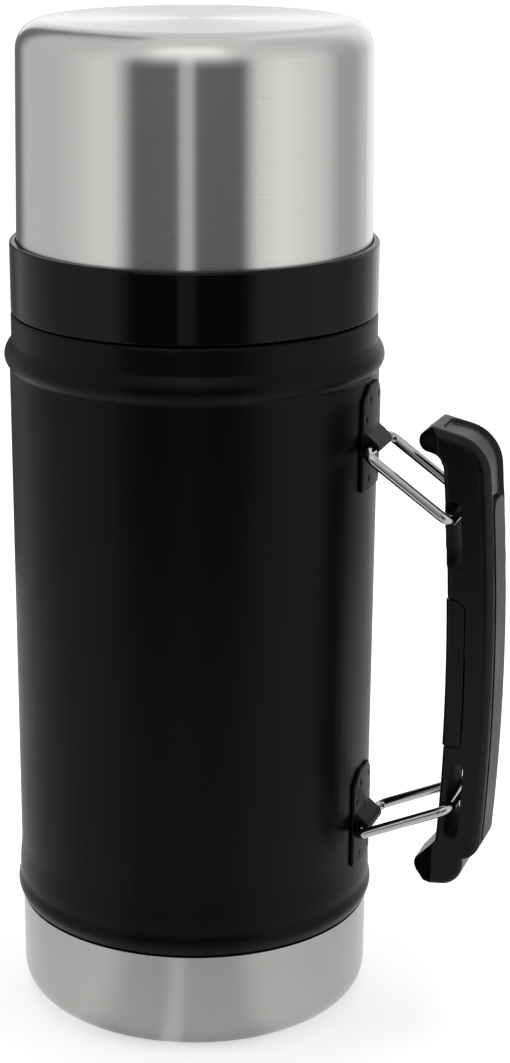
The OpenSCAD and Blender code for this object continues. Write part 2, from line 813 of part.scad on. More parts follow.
module handle_shell() {
    hollow_w = handle_w - 2 * handle_wall;
    color(plastic_black)
        difference() {
            union() {
                handle_bar();
                for (side = [-1, 1]) handle_end(side);
            }
            // slots that the wires slide in
            across(handle_w + 2) slot_view(upper_bar, upper_slot);
            across(handle_w + 2) slot_view(lower_bar, lower_slot);
            // seat of the finger-side cover, and the hollow behind it
            across(handle_w + 2) cover_view(seat_gap);
            along_bow(bow_angle(cover_low_z + cover_lap), bow_angle(cover_top_z - 2 * cover_lap))
                block([bow_r - grip_depth - 1, -hollow_w / 2], [bow_r - strip_t - handle_wall, hollow_w / 2]);
            // seat of the soft strip
            strip_solid(strip_t, 2, seat_gap);
            translate([0, 0, bow_z]) nose_bevels(hook_x);
            nose_bevels(toe_x);
        }
}

module handle_cover() {
    pocket_w = handle_w - 2 * handle_wall;
    color(plastic_black)
        difference() {
            intersection() {
                across(handle_w) cover_view(0);
                along_bow(bow_angle(cover_low_z - 1), bow_angle(cover_top_z + 1))
                    grip_section(grip_depth + cover_proud, 0);
            }
            along_bow(bow_angle(cover_low_z + handle_wall), bow_angle(cover_top_z - cover_depth - 1))
                block([bow_r - grip_depth + handle_wall, -pocket_w / 2], [bow_r, pocket_w / 2]);
        }
}

module handle_strip() {
    proud = 0.2;
    color(strip_grey)
        difference() {
            strip_solid(strip_t - seat_gap, proud, 0);
            across(handle_w) heel_view();
        }
}

// ---------------------------------------------------------------- stopper

module stopper_body() {
    edge = 2;
    color(plastic_black)
        rotate_extrude()
            difference() {
                union() {
                    round_low(plug_r, plug_low_z, cap_z, edge);
                    round_top(flange_r, flange_z, flange_r, cap_z, 0.6);
                }
                block([-eps, plug_low_z + plug_t], [plug_in_r, cap_z + eps]);
            }
}

module stopper_insulation() {
    color(foam)
        translate([0, 0, plug_low_z + plug_t])
            cylinder(r = plug_in_r - seat_gap, h = cap_z - plug_low_z - plug_t - plug_t - seat_gap);
}

module stopper_gasket() {
    color(silicone)
        rotate_extrude()
            difference() {
                round_low(flange_r, mouth_z + move_gap, flange_z, 0.5);
                block([-eps, mouth_z], [plug_r + move_gap, flange_z + eps]);
            }
}

module stopper_cap() {
    hollow_r = 7;
    hollow_reach = knob_r + 3.4;
    color(plastic_black) {
        rotate_extrude()
            union() {
                round_top(flange_r - 0.8, cap_z, flange_r - 0.8, cap_z + cap_t, 1);
                block([0, cap_z - plug_t], [plug_in_r - seat_gap, cap_z + eps]);
            }
        difference() {
            translate([0, 0, cap_z])
                rotate_extrude()
                    round_top(knob_r + 1, 0, knob_r, cap_t + knob_h, 2);
            for (i = [0:knob_hollows - 1])
                rotate([0, 0, (i + 0.5) * 360 / knob_hollows])
                    translate([hollow_reach, 0, cap_z + cap_t])
                        cylinder(r = hollow_r, h = knob_h + 1, $fn = 48);
            translate([0, 0, cap_z + cap_t + knob_h - 1.2])
                cylinder(r = knob_r - 8, h = 2);
        }
    }
}

// ---------------------------------------------------------------- lid

module lid_collar() {
    groove_floor_z = collar_top_z - collar_groove;
    lip_edge = 0.7;
    low_edge = 0.4;
    color(plastic_black)
        rotate_extrude()
            difference() {
                intersection() {
                    round_top(collar_r, collar_low_z, collar_r, collar_top_z, lip_edge);
                    round_low(collar_r, collar_low_z, collar_top_z, low_edge);
                }
                block([-eps, collar_low_z - eps], [collar_bore_r, collar_top_z + eps]);
                block([groove_in_r, groove_floor_z], [groove_out_r, collar_top_z + eps]);
                block([-eps, sleeve_top_z], [groove_in_r + eps, collar_top_z + eps]);
                block([gasket_in_r, collar_low_z - eps], [gasket_out_r, collar_low_z + gasket_t]);
            }
}

module lid_gasket() {
    color(silicone)
        rotate_extrude()
            block([gasket_in_r + seat_gap, collar_low_z],
                  [gasket_out_r - seat_gap, collar_low_z + gasket_t - seat_gap]);
}

module lid_shell() {
    top_r = cup_r - cup_taper;
    color(steel)
        rotate_extrude()
            difference() {
                round_top(cup_r, cup_low_z, top_r, jar_h, cup_corner_r);
                translate([0, -eps])
                    round_top(cup_in_r, cup_low_z, top_r - sheet_t, jar_h - sheet_t + eps,
                              cup_corner_r - sheet_t);
            }
}

module lid_liner() {
    flange_out_r = groove_in_r;
    color(steel)
        rotate_extrude()
            difference() {
                union() {
                    round_top(liner_r + liner_t, sleeve_top_z, liner_r + liner_t, liner_top_z,
                              liner_corner_r + liner_t);
                    block([0, sleeve_top_z], [flange_out_r, sleeve_top_z + liner_t]);
                }
                translate([0, -eps])
                    round_top(liner_r, sleeve_top_z, liner_r, liner_top_z - liner_t + eps, liner_corner_r);
            }
}

base_cup();
outer_shell();
inner_vessel();
outer_bottom();
getter();
vacuum_seal();
upper_bracket();
lower_bracket();
upper_bail();
lower_bail();
handle_shell();
handle_cover();
handle_strip();
stopper_body();
stopper_insulation();
stopper_cap();
stopper_gasket();
lid_collar();
lid_shell();
lid_liner();
lid_gasket();
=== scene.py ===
"""Looks of the insulated food jar: finishes, studio and camera. Metres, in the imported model's frame."""

import math

import bmesh
import bpy
from mathutils import Euler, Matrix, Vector


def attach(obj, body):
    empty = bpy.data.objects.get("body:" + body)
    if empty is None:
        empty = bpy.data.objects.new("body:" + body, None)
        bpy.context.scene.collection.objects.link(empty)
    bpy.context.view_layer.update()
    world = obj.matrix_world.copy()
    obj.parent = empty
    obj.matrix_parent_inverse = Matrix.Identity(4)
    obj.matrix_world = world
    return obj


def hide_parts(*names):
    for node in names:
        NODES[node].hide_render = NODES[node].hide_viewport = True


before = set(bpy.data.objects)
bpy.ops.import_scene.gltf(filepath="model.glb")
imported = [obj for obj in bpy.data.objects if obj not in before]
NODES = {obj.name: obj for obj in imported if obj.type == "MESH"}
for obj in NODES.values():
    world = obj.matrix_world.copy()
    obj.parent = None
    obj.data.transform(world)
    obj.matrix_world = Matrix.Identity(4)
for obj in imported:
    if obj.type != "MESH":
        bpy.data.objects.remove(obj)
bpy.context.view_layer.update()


# ---------------------------------------------------------------- camera

LONG_SIDE_PX = 1063            # the photograph's height
SHORT_SIDE_PX = 510
FOCAL_PX = 2462                # fitted to the jar's rings and outline
CENTRE_PX = (194.5, 700.0)     # where the lens axis meets the picture
CAMERA_AZIMUTH = 19.67         # degrees, from -Y towards +X
CAMERA_DISTANCE = 0.6832       # from the jar's axis, along the floor
CAMERA_HEIGHT = 0.3470
CAMERA_TILT = 20.63            # degrees below the horizon
CLIP_START = 0.01


def add_camera():
    data = bpy.data.cameras.new("camera")
    data.lens = FOCAL_PX * data.sensor_width / LONG_SIDE_PX
    data.shift_x = (SHORT_SIDE_PX / 2 - CENTRE_PX[0]) / LONG_SIDE_PX
    data.shift_y = (CENTRE_PX[1] - LONG_SIDE_PX / 2) / LONG_SIDE_PX
    data.clip_start = CLIP_START
    camera = bpy.data.objects.new("camera", data)
    azimuth = math.radians(CAMERA_AZIMUTH)
    camera.location = (CAMERA_DISTANCE * math.sin(azimuth), -CAMERA_DISTANCE * math.cos(azimuth),
                       CAMERA_HEIGHT)
    camera.rotation_euler = Euler((math.radians(90 - CAMERA_TILT), 0, azimuth))
    bpy.context.scene.collection.objects.link(camera)
    bpy.context.scene.camera = camera


# ---------------------------------------------------------------- material helpers

NOISE_LOW = 0.3                # most of a noise's values lie between these
NOISE_HIGH = 0.7
GREY_SPREAD = 0.1              # share by which a grey varies both ways


class Shader:
    """A node material with a Principled shader, and short ways to add nodes to it."""

    def __init__(self, name, **values):
        self.material = bpy.data.materials.new(name)
        self.material.use_nodes = True
        self.nodes = self.material.node_tree.nodes
        self.links = self.material.node_tree.links
        self.surface = self.nodes["Principled BSDF"]
        for socket, value in values.items():
            self.surface.inputs[socket.replace("_", " ")].default_value = value

    def add(self, kind, **settings):
        node = self.nodes.new(kind)
        for key, value in settings.items():
            if key in node.inputs:
                node.inputs[key].default_value = value
            else:
                setattr(node, key, value)
        return node

    def link(self, output, target):
        self.links.new(output, target)

    def coordinates(self, scale):
        """Object coordinates stretched by a scale along each axis."""
        place = self.add("ShaderNodeTexCoord")
        stretch = self.add("ShaderNodeMapping")
        stretch.inputs["Scale"].default_value = scale
        self.link(place.outputs["Object"], stretch.inputs["Vector"])
        return stretch.outputs["Vector"]

    def noise(self, vector, scale, detail=3.0, roughness=0.5):
        noise = self.add("ShaderNodeTexNoise")
        noise.inputs["Scale"].default_value = scale
        noise.inputs["Detail"].default_value = detail
        noise.inputs["Roughness"].default_value = roughness
        self.link(vector, noise.inputs["Vector"])
        return noise.outputs["Fac"]

    def remap(self, value, low, high, to_low, to_high):
        remap = self.add("ShaderNodeMapRange")
        limits = {"From Min": low, "From Max": high, "To Min": to_low, "To Max": to_high}
        for name, number in limits.items():
            remap.inputs[name].default_value = number
        self.link(value, remap.inputs["Value"])
        return remap.outputs["Result"]

    def vary_roughness(self, noise, low, high):
        """Roughness that follows a noise from low to high."""
        self.link(self.remap(noise, NOISE_LOW, NOISE_HIGH, low, high), self.surface.inputs["Roughness"])

    def bump(self, height, distance, strength=1.0):
        bump = self.add("ShaderNodeBump")
        bump.inputs["Strength"].default_value = strength
        bump.inputs["Distance"].default_value = distance
        self.link(height, bump.inputs["Height"])
        self.link(bump.outputs["Normal"], self.surface.inputs["Normal"])

    def tint(self, value, dark, light):
        ramp = self.add("ShaderNodeValToRGB")
        ramp.color_ramp.elements[0].color = (*dark, 1)
        ramp.color_ramp.elements[1].color = (*light, 1)
        self.link(value, ramp.inputs["Fac"])
        self.link(ramp.outputs["Color"], self.surface.inputs["Base Color"])

    def vary_grey(self, noise, grey):
        self.tint(noise, (grey * (1 - GREY_SPREAD),) * 3, (grey * (1 + GREY_SPREAD),) * 3)


# ---------------------------------------------------------------- materials

STEEL_TONE = (1.0, 0.99, 0.965)      # slightly warm
COAT_SHINE = 0.105


def brushed_steel(name, grey, rough, spread, contrast):
    """Steel with fine lines round the jar's axis, which smear reflections along the axis."""
    shader = Shader(name, Metallic=1.0, Anisotropic=spread, Anisotropic_Rotation=0.25)
    lines = shader.noise(shader.coordinates((45, 45, 2600)), 1.0, detail=4, roughness=0.6)
    shader.tint(lines, [grey * (1 - contrast) * tone for tone in STEEL_TONE],
                [grey * (1 + contrast) * tone for tone in STEEL_TONE])
    shader.vary_roughness(lines, rough * (1 - contrast), rough * (1 + contrast))
    tangent = shader.add("ShaderNodeTangent", direction_type="RADIAL", axis="Z")
    shader.link(tangent.outputs["Tangent"], shader.surface.inputs["Tangent"])
    shader.bump(lines, distance=0.00001, strength=0.5)
    return shader.material


def coated_steel(name, grey, rough):
    """Satin powder coat: a fine orange-peel skin."""
    shader = Shader(name, Specular_IOR_Level=COAT_SHINE)
    skin = shader.noise(shader.coordinates((1, 1, 1)), 1600, detail=2)
    clouds = shader.noise(shader.coordinates((1, 1, 1)), 25, detail=3)
    shader.vary_grey(clouds, grey)
    shader.vary_roughness(clouds, rough * 0.93, rough * 1.07)
    shader.bump(skin, distance=0.00003, strength=0.3)
    return shader.material


def moulded_plastic(name, grey, rough, specular, grain):
    """Plastic with the fine grain of its mould."""
    shader = Shader(name, Specular_IOR_Level=specular)
    skin = shader.noise(shader.coordinates((1, 1, 1)), 2200, detail=2)
    clouds = shader.noise(shader.coordinates((1, 1, 1)), 60, detail=3)
    shader.vary_grey(clouds, grey)
    shader.vary_roughness(clouds, rough * 0.9, rough * 1.1)
    shader.bump(skin, distance=grain, strength=0.4)
    return shader.material


def polished_wire(name):
    """Bright steel wire with faint scratches."""
    shader = Shader(name, Metallic=1.0)
    scratches = shader.noise(shader.coordinates((300, 300, 300)), 4, detail=3)
    shader.tint(scratches, (0.46, 0.455, 0.445), (0.56, 0.555, 0.54))
    shader.vary_roughness(scratches, 0.05, 0.11)
    return shader.material


def soft_piece(name, colour, rough):
    """Matt silicone or foam."""
    shader = Shader(name)
    grain = shader.noise(shader.coordinates((1, 1, 1)), 900, detail=3)
    shader.tint(grain, tuple(c * 0.92 for c in colour), colour)
    shader.vary_roughness(grain, rough * 0.95, rough)
    shader.bump(grain, distance=0.00005, strength=0.4)
    return shader.material


def dress_nodes():
    """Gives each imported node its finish, and returns those that the scene's own pieces use."""
    cup = brushed_steel("cup_steel", grey=0.62, rough=0.2, spread=0.85, contrast=0.06)
    base = brushed_steel("base_steel", grey=0.43, rough=0.24, spread=0.6, contrast=0.05)
    vessel = brushed_steel("vessel_steel", grey=0.55, rough=0.3, spread=0.6, contrast=0.1)
    coat = coated_steel("powder_coat", grey=0.0008, rough=0.33)
    bracket = coated_steel("bracket_coat", grey=0.003, rough=0.38)
    wire = polished_wire("wire_steel")
    handle = moulded_plastic("handle_plastic", grey=0.003, rough=0.25, specular=0.18, grain=0.00004)
    strip = moulded_plastic("strip_plastic", grey=0.006, rough=0.38, specular=0.22, grain=0.00004)
    collar = moulded_plastic("collar_plastic", grey=0.001, rough=0.12, specular=0.16, grain=0.000004)
    stopper = moulded_plastic("stopper_plastic", grey=0.01, rough=0.4, specular=0.3, grain=0.00003)
    silicone = soft_piece("silicone", colour=(0.42, 0.42, 0.42), rough=0.6)
    foam = soft_piece("foam", colour=(0.86, 0.82, 0.7), rough=0.9)
    finishes = {
        "base_cup": base, "outer_shell": coat, "inner_vessel": vessel, "outer_bottom": vessel,
        "getter": vessel, "vacuum_seal": vessel, "upper_bracket": bracket, "lower_bracket": bracket,
        "upper_bail": wire, "lower_bail": wire, "handle_shell": handle, "handle_cover": handle,
        "handle_strip": strip, "stopper_body": stopper, "stopper_cap": stopper,
        "stopper_insulation": foam, "stopper_gasket": silicone, "lid_collar": collar,
        "lid_shell": cup, "lid_liner": cup, "lid_gasket": silicone,
    }
    for node, material in finishes.items():
        slots = NODES[node].data.materials
        slots.clear()
        slots.append(material)
    return {"handle": handle, "bracket": bracket, "collar": collar, "stopper": stopper, "vessel": vessel,
            "coat": coat}


# ---------------------------------------------------------------- moulded and pressed pieces

MM = 0.001
WELD_GAP = 0.002 * MM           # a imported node's doubled points lie closer than this
HANDLE_VOXEL = 0.4 * MM
SHEET_VOXEL = 0.25 * MM
EDGE_ROUNDS = 8                 # of smoothing, which set how soft the edges get
HANDLE_HALF = 10 * MM           # half its breadth across the wires' slots
SLOT_R = 2.4 * MM               # as in the solid, where it is closed before the edges are rounded
SLOT_CUT_R = 2.15 * MM          # narrower against light; at rest the wires cut up to 0.14 mm into the walls
SLOT_LAP = 0.1 * MM             # by which the closing plug is wider than the slot
SLOT_END_STEPS = 24
SLOTS = {                       # the middles of each slot's two rounded ends, in X and Z
    "upper_slot": ((79.67 * MM, 142.96 * MM), (78.51 * MM, 159.0 * MM)),
    "lower_slot": ((81.19 * MM, 63.39 * MM), (82.12 * MM, 82.48 * MM)),
}


def add_piece(name, mesh, body, material, nodes=()):
    """A piece of the scene's own: rides on a body, has a finish, and may stand for CAD nodes."""
    piece = bpy.data.objects.new(name, mesh)
    bpy.context.scene.collection.objects.link(piece)
    mesh.materials.clear()
    mesh.materials.append(material)
    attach(piece, body)
    if nodes:
        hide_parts(*nodes)
    return piece


def mesh_of(shape, name):
    mesh = bpy.data.meshes.new(name)
    shape.to_mesh(mesh)
    shape.free()
    return mesh


def welded(node):
    """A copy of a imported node, with its doubled points merged."""
    shape = bmesh.new()
    shape.from_mesh(NODES[node].data)
    bmesh.ops.remove_doubles(shape, verts=shape.verts, dist=WELD_GAP)
    return shape


def add_slot_prism(shape, ends, radius, half_width):
    """Adds a closed prism with a long-hole outline in X and Z, across Y."""
    (low_x, low_z), (high_x, high_z) = ends
    along = math.atan2(high_z - low_z, high_x - low_x)
    outline = []
    for (x, z), start in (((high_x, high_z), along - math.pi / 2), ((low_x, low_z), along + math.pi / 2)):
        for i in range(SLOT_END_STEPS + 1):
            turn = start + math.pi * i / SLOT_END_STEPS
            outline.append((x + radius * math.cos(turn), z + radius * math.sin(turn)))
    near = [shape.verts.new((x, -half_width, z)) for x, z in outline]
    far = [shape.verts.new((x, half_width, z)) for x, z in outline]
    faces = [shape.faces.new(near), shape.faces.new(reversed(far))]
    count = len(outline)
    for i in range(count):
        j = (i + 1) % count
        faces.append(shape.faces.new((near[j], near[i], far[i], far[j])))
    bmesh.ops.recalc_face_normals(shape, faces=faces)


def apply_modifiers(piece):
    graph = bpy.context.evaluated_depsgraph_get()
    finished = bpy.data.meshes.new_from_object(piece.evaluated_get(graph), depsgraph=graph)
    piece.modifiers.clear()
    piece.data = finished


def soften_edges(piece, voxel):
    """Rounds every edge a little, as a mould or a press leaves it."""
    remesh = piece.modifiers.new("even_mesh", "REMESH")
    remesh.mode = "VOXEL"
    remesh.voxel_size = voxel
    remesh.use_smooth_shade = True
    smooth = piece.modifiers.new("soft_edges", "SMOOTH")
    smooth.factor = 0.5
    smooth.iterations = EDGE_ROUNDS
    apply_modifiers(piece)


def cut_slot(piece, name, dull):
    """Cuts a wire's slot through the handle; its walls are left dull."""
    shape = bmesh.new()
    add_slot_prism(shape, SLOTS[name], SLOT_CUT_R, HANDLE_HALF + MM)
    tool = bpy.data.objects.new(name, mesh_of(shape, name))
    tool.data.materials.append(dull)
    bpy.context.scene.collection.objects.link(tool)
    cut = piece.modifiers.new(name, "BOOLEAN")
    cut.object = tool
    cut.solver = "EXACT"
    cut.material_mode = "TRANSFER"
    apply_modifiers(piece)
    bpy.data.objects.remove(tool)


def add_handle(finish, dull):
    """The moulded handle with soft edges; its slots are closed while they are rounded, then cut again."""
    shape = welded("handle_shell")
    for ends in SLOTS.values():
        add_slot_prism(shape, ends, SLOT_R + SLOT_LAP, HANDLE_HALF)
    piece = add_piece("handle_moulding", mesh_of(shape, "handle_moulding"), "handle", finish,
                      ["handle_shell"])
    soften_edges(piece, HANDLE_VOXEL)
    for name in SLOTS:
        cut_slot(piece, name, dull)


def add_bracket(node, finish):
    """A pressed bracket with soft edges."""
    mesh = mesh_of(welded(node), node)
    piece = add_piece(node + "_pressing", mesh, "jar", finish, [node])
    soften_edges(piece, SHEET_VOXEL)


# ---------------------------------------------------------------- rolled beads

SHELL_ZONES = [(30.9 * MM, 50 * MM), (189.5 * MM, 202.5 * MM)]     # heights where the wall is rolled anew
RING_STEP = 0.4 * MM
CUT_GAP = 0.001 * MM
RING_GAP = 0.03 * MM             # points closer than this are merged
WALL_R = 52 * MM                 # the body's radius
BAND_R = 51.4 * MM               # the band under the lid
SKIRT_R = 49 * MM                # the wall lies outside this
SHEET = 0.6 * MM
NECK_Z = 207.3 * MM              # just over the shoulder, where the coat ends
MIDDLE_Z = 100 * MM              # between the two beads
SHARP_ANGLE = 40                 # degrees from which an edge shows

# The solid's two beads
LOW_CREST_R = 53 * MM
LOW_CREST_Z = 38 * MM
LOW_BEAD_TOP = 41.87 * MM
TOP_BEAD_FOOT = 190.28 * MM
TOP_CREST_R = 53.4 * MM
TOP_CREST_Z = 194.8 * MM         # the crest is straight from here
TOP_CORNER_Z = 198.6 * MM        # to here
BAND_FOOT = 200.6 * MM
EDGE_ARC_R = 22.2 * MM
BEAD_ARC_R = 8 * MM
TOP_CORNER_R = 2 * MM

# The rolled beads; the lower two as height of the middle, half the breadth, and rise
FLAT_BEAD = (40 * MM, 9 * MM, 0.55 * MM)
EDGE_BEAD = (34.4 * MM, 4.0 * MM, 1.0 * MM)
EDGE_Z = 31.9 * MM               # below this the edge is rolled in
EDGE_CURL = 0.75 * MM            # by this at 1 mm down, and by the square of the way further down
SLOPE_Z = 192 * MM               # the wall narrows to the band from here
SLOPE_RUN = 7 * MM
TOP_BEAD_Z = 195.5 * MM
TOP_BEAD_HALF = 3.7 * MM
TOP_BEAD_RISE = 1.7 * MM
BLEND = 0.35 * MM                # softness of the corners where the upper bead meets the wall


def arc(z, crest_r, crest_z, radius):
    """The jar's radius on an arc round the crest of a bead."""
    return crest_r - radius + math.sqrt(radius ** 2 - (z - crest_z) ** 2)


def drawn_radius(z):
    """The shell's radius as the solid has it."""
    if z < LOW_CREST_Z:
        return arc(z, LOW_CREST_R, LOW_CREST_Z, EDGE_ARC_R)
    if z < LOW_BEAD_TOP:
        return arc(z, LOW_CREST_R, LOW_CREST_Z, BEAD_ARC_R)
    if z < TOP_BEAD_FOOT:
        return WALL_R
    if z < TOP_CREST_Z:
        return arc(z, TOP_CREST_R, TOP_CREST_Z, BEAD_ARC_R)
    if z < TOP_CORNER_Z:
        return TOP_CREST_R
    if z < BAND_FOOT:
        return arc(z, TOP_CREST_R, TOP_CORNER_Z, TOP_CORNER_R)
    return BAND_R


def hump(z, middle, half, rise):
    share = (z - middle) / half
    return rise * math.cos(share * math.pi / 2) ** 2 if abs(share) < 1 else 0


def rolled_radius(z):
    """The same wall with other beads: a full round one above; a flat one and an edge bead below."""
    if z < MIDDLE_Z:
        edge = max(0, EDGE_Z - z) / MM
        return WALL_R + hump(z, *FLAT_BEAD) + hump(z, *EDGE_BEAD) - EDGE_CURL * edge ** 2
    share = min(max((z - SLOPE_Z) / SLOPE_RUN, 0), 1)
    wall = WALL_R + (BAND_R - WALL_R) * share * share * (3 - 2 * share)
    bead = wall + TOP_BEAD_RISE * (1 - ((z - TOP_BEAD_Z) / TOP_BEAD_HALF) ** 2)
    soft = math.hypot(bead - wall, BLEND)
    return (bead + wall + soft) / 2 - BLEND ** 2 / (4 * soft)


def add_shell(finish, bare):
    """The coated shell with its beads rolled anew, and bare at the neck."""
    shape = welded("outer_shell")
    for low, high in SHELL_ZONES:
        for i in range(round((high - low) / RING_STEP) + 1):
            everything = shape.verts[:] + shape.edges[:] + shape.faces[:]
            bmesh.ops.bisect_plane(shape, geom=everything, dist=CUT_GAP,
                                   plane_co=(0, 0, low + i * RING_STEP), plane_no=(0, 0, 1))
    for point in shape.verts:
        radius = math.hypot(point.co.x, point.co.y)
        height = point.co.z
        if radius > SKIRT_R and any(low - MM < height < high for low, high in SHELL_ZONES):
            depth = drawn_radius(height) - radius
            rolled = rolled_radius(height) - (depth if depth > SHEET / 2 else 0)
            point.co.x *= rolled / radius
            point.co.y *= rolled / radius
    bmesh.ops.remove_doubles(shape, verts=shape.verts, dist=RING_GAP)
    mesh = mesh_of(shape, "body_shell")
    add_piece("body_shell", mesh, "jar", finish, ["outer_shell"])
    mesh.materials.append(bare)
    for face in mesh.polygons:
        if face.center.z > NECK_Z:
            face.material_index = 1
    mesh.shade_smooth()
    mesh.set_sharp_from_angle(angle=math.radians(SHARP_ANGLE))


# ---------------------------------------------------------------- screw threads

THREAD_TURNS = 1.6
THREAD_STEPS = 96               # per turn
THREAD_ACROSS = 6
THREAD_FADE = 0.12              # share of a thread's length over which each end runs out
THREAD_ROOT = 0.2 * MM          # depth to which a thread is sunk in its wall


def thread_mesh(name, radius, low_z, pitch, turns, height, half_width):
    """A rounded ridge wound round the jar's axis, out of its wall, or inwards where height is negative."""
    root = math.copysign(THREAD_ROOT, height)
    shape = bmesh.new()
    count = int(THREAD_STEPS * turns)
    rings = []
    for i in range(count + 1):
        share = i / count
        fade = math.sin(math.pi / 2 * min(1, share / THREAD_FADE, (1 - share) / THREAD_FADE))
        turn = 2 * math.pi * turns * share
        ring = []
        for j in range(THREAD_ACROSS + 1):
            lean = math.pi * j / THREAD_ACROSS
            reach = radius - root + (root + height * fade) * math.sin(lean)
            z = low_z + pitch * turns * share - half_width * math.cos(lean)
            ring.append(shape.verts.new((reach * math.cos(turn), reach * math.sin(turn), z)))
        rings.append(ring)
    for first, second in zip(rings, rings[1:]):
        for j in range(len(first)):
            k = (j + 1) % len(first)
            shape.faces.new((first[j], first[k], second[k], second[j]))
    shape.faces.new(rings[0])
    shape.faces.new(rings[-1])
    bmesh.ops.recalc_face_normals(shape, faces=shape.faces)
    for face in shape.faces:
        face.smooth = True
    return mesh_of(shape, name)


def add_threads(neck_steel, collar, stopper):
    """Matching threads, each pair half a turn's rise apart so that they mesh."""
    neck_r, collar_bore_r = 45.6 * MM, 46.1 * MM
    mouth_r, plug_r = 42.2 * MM, 41.6 * MM
    height, half_width = 0.42 * MM, 0.8 * MM
    lid_pitch, lid_low_z = 4.4 * MM, 209.4 * MM
    stopper_pitch, stopper_low_z = 5 * MM, 200 * MM
    pieces = (
        ("neck_thread", "jar", neck_steel, "vessel_steel", neck_r, lid_low_z, lid_pitch, height),
        ("collar_thread", "lid", collar, "collar_plastic", collar_bore_r, lid_low_z + lid_pitch / 2,
         lid_pitch, -height),
        ("stopper_thread", "stopper", stopper, "stopper_plastic", plug_r, stopper_low_z + stopper_pitch / 2,
         stopper_pitch, height),
        ("mouth_thread", "jar", neck_steel, "vessel_steel", mouth_r, stopper_low_z, stopper_pitch, -height),
    )
    for name, body, finish, slot, radius, low_z, pitch, rise in pieces:
        mesh = thread_mesh(name, radius, low_z, pitch, THREAD_TURNS, rise, half_width)
        add_piece(name, mesh, body, finish)


# ---------------------------------------------------------------- studio

FLOOR_SIZE = 30
FLOOR_WHITE = 0.76       # added to what the lamps give, so that the open floor is just white to the camera
FLOOR_NEAR = 0.51        # less of it beside the jar: painted shade that deepens the jar's shadow there
FLOOR_NEAR_R = 0.07      # up to here, and all of it from the next one on
FLOOR_FAR_R = 0.12
FLOOR_MIRRORED = 0.24    # the same for what shows in the steel
FLOOR_CLOSE = 0.15       # more of that beside the jar: painted light, seen only in the steel, that lifts the jar's shadow there
FLOOR_LIT = 0.7          # about what the lamps and this give together there
WORLD_LIGHT = 0.45
SKY_BACK = 1.10          # brightness that reflections see low over the backdrop, then higher up
SKY_HIGH = 0.84
SKY_RISE = (0.1, 0.42)   # heights, as parts of 1, between which the one goes over to the other
# How bright the floor looks in the base, by azimuth from the camera's side
FLOOR_BANDS = [(-90, 1.00), (-45, 1.14), (-32, 0.80), (-13, 0.78), (-11, 1.10), (-6, 1.10), (-4, 0.80),
               (20, 0.80), (32, 1.14), (50, 1.16), (90, 1.00)]
WALL_RADIUS = 0.42
# Brightness of the reflected wall: azimuth from the camera's side, its lower part, then its top
WALL = [(-180, 0.20, 0.20), (-160, 0.16, 0.16), (-144, 0.16, 0.20), (-130, 0.66, 0.70), (-90, 0.68, 0.74),
        (-60, 0.92, 0.78), (-49, 0.92, 0.80), (-36, 0.12, 1.00), (-22, 0.12, 1.40), (-10, 0.12, 1.40),
        (-8, 0.60, 1.40), (-1, 0.60, 1.40), (1, 0.12, 1.40), (16, 0.12, 1.40), (28, 0.12, 1.00),
        (38, 0.88, 0.80), (54, 1.06, 0.78), (78, 0.90, 0.78), (88, 0.78, 0.74), (100, 0.48, 0.72),
        (118, 0.48, 0.72), (135, 0.80, 0.95), (152, 1.10, 1.10), (170, 0.60, 0.60), (180, 0.20, 0.20)]
WALL_ROWS = [(0.001, 0), (0.29, 0), (0.62, 0.9), (1.30, 1)]    # height, and share of the top's brightness
BACK_AZIMUTH = 158       # beyond it the wall is low, so that the lid's top mirrors the sky over it
WALL_STEPS = 360
CURVE_TOP = 2            # brightness at the top of the curve that holds FLOOR_BANDS
LAMP_AIM = (0, 0, 0.14)  # the jar's middle


def plane(name, size):
    """A square that the jar stands on, and that isn't part of it."""
    mesh = bpy.data.meshes.new(name)
    half = size / 2
    corners = [(-half, -half, 0), (half, -half, 0), (half, half, 0), (-half, half, 0)]
    mesh.from_pydata(corners, [], [(0, 1, 2, 3)])
    thing = bpy.data.objects.new(name, mesh)
    bpy.context.scene.collection.objects.link(thing)
    return thing


def floor_bands(shader):
    """Brightness of the floor's mirror image, in soft bands round the jar."""
    turn = math.radians(CAMERA_AZIMUTH)
    place = shader.add("ShaderNodeTexCoord")
    spun = shader.add("ShaderNodeMapping")
    spun.inputs["Rotation"].default_value = (0, 0, math.pi / 2 - turn)
    axes = shader.add("ShaderNodeSeparateXYZ")
    angle = shader.add("ShaderNodeMath", operation="ARCTAN2")
    shader.link(place.outputs["Object"], spun.inputs["Vector"])
    shader.link(spun.outputs["Vector"], axes.inputs[0])
    shader.link(axes.outputs["Y"], angle.inputs[0])
    shader.link(axes.outputs["X"], angle.inputs[1])
    curve = shader.add("ShaderNodeFloatCurve")
    points = curve.mapping.curves[0].points
    for azimuth, share in FLOOR_BANDS:
        points.new(0.5 + azimuth / 360, share / CURVE_TOP)
    points[0].location = (0, 1 / CURVE_TOP)
    points[-1].location = (1, 1 / CURVE_TOP)
    for point in points:
        point.handle_type = "VECTOR"
    curve.mapping.update()
    shader.link(shader.remap(angle.outputs[0], -math.pi, math.pi, 0, 1), curve.inputs["Value"])
    total = shader.add("ShaderNodeMath", operation="MULTIPLY_ADD")
    total.inputs[1].default_value = CURVE_TOP * FLOOR_LIT
    total.inputs[2].default_value = FLOOR_MIRRORED - FLOOR_LIT
    shader.link(curve.outputs["Value"], total.inputs[0])
    return total.outputs[0]


